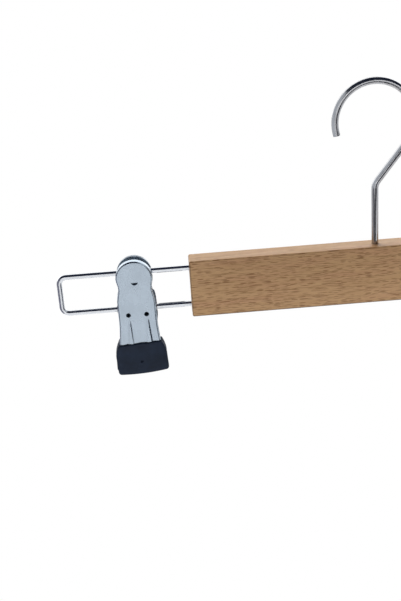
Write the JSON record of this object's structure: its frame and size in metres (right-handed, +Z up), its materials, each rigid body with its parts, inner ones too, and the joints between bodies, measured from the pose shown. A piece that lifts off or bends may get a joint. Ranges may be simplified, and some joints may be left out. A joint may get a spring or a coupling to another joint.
{
  "type": "trouser hanger",
  "caption": "Wooden trouser hanger with a swivelling wire hook and a sprung, rubber-tipped clip sliding on a wire loop at each end of the bar.",
  "frame": {"origin": "hook seat: the inside top of the hook's crook, where a wardrobe rail bears", "axes": "+X along the bar towards its right end, +Y to the back, +Z up"},
  "size_m": [0.351, 0.0141, 0.1554],
  "materials": {
    "beech": "oiled beech, straight grain with fine ray flecks",
    "hook_wire": "dull zinc-plated steel wire",
    "zinc_washer": "zinc-plated steel",
    "nickel_wire": "bright nickel-plated steel wire",
    "nickel_sheet": "satin nickel-plated pressed sheet",
    "zinc_tube": "zinc-plated steel tube",
    "spring_wire": "plain spring steel",
    "black_rubber": "matt black moulded rubber"
  },
  "bodies": {
    "hook": {"hook": "hook_wire"},
    "frame": {"bar": "beech", "left_loop": "nickel_wire", "right_loop": "nickel_wire", "hook_washer": "zinc_washer"},
    "left_clip": {"left_pivot_tube": "zinc_tube", "left_spring": "spring_wire"},
    "left_front": {"left_front_leaf": "nickel_sheet", "left_front_boot": "black_rubber"},
    "left_back": {"left_back_leaf": "nickel_sheet", "left_back_boot": "black_rubber"},
    "right_clip": {"right_pivot_tube": "zinc_tube", "right_spring": "spring_wire"},
    "right_front": {"right_front_leaf": "nickel_sheet", "right_front_boot": "black_rubber"},
    "right_back": {"right_back_leaf": "nickel_sheet", "right_back_boot": "black_rubber"}
  },
  "joints": [
    {"name": "hook_swivel", "type": "hinge", "parent": "hook", "child": "frame", "pos_m": [0, 0, -0.08595], "axis": [0, 0, 1], "continuous": true},
    {"name": "left_clip_slide", "type": "slide", "parent": "frame", "child": "left_clip", "axis": [1, 0, 0], "range_m": [-0.026, 0.0191]},
    {"name": "left_front_hinge", "type": "hinge", "parent": "left_clip", "child": "left_front", "pos_m": [-0.1328, 0, -0.11245], "axis": [-1, 0, 0], "range_deg": [0, 7], "stiffness_Nm_per_rad": 0.23, "springref_deg": -44.98, "deforming": ["left_spring"]},
    {"name": "left_back_hinge", "type": "hinge", "parent": "left_clip", "child": "left_back", "pos_m": [-0.1328, 0, -0.11245], "axis": [1, 0, 0], "range_deg": [0, 7], "stiffness_Nm_per_rad": 0.23, "springref_deg": -44.98, "deforming": ["left_spring"]},
    {"name": "right_clip_slide", "type": "slide", "parent": "frame", "child": "right_clip", "axis": [-1, 0, 0], "range_m": [-0.026, 0.0191]},
    {"name": "right_front_hinge", "type": "hinge", "parent": "right_clip", "child": "right_front", "pos_m": [0.1328, 0, -0.11245], "axis": [-1, 0, 0], "range_deg": [0, 7], "stiffness_Nm_per_rad": 0.23, "springref_deg": -44.98, "deforming": ["right_spring"]},
    {"name": "right_back_hinge", "type": "hinge", "parent": "right_clip", "child": "right_back", "pos_m": [0.1328, 0, -0.11245], "axis": [1, 0, 0], "range_deg": [0, 7], "stiffness_Nm_per_rad": 0.23, "springref_deg": -44.98, "deforming": ["right_spring"]}
  ],
  "couplings": [
    {"joint": "left_back_hinge", "follows": "left_front_hinge", "ratio": 1},
    {"joint": "right_back_hinge", "follows": "right_front_hinge", "ratio": 1}
  ]
}
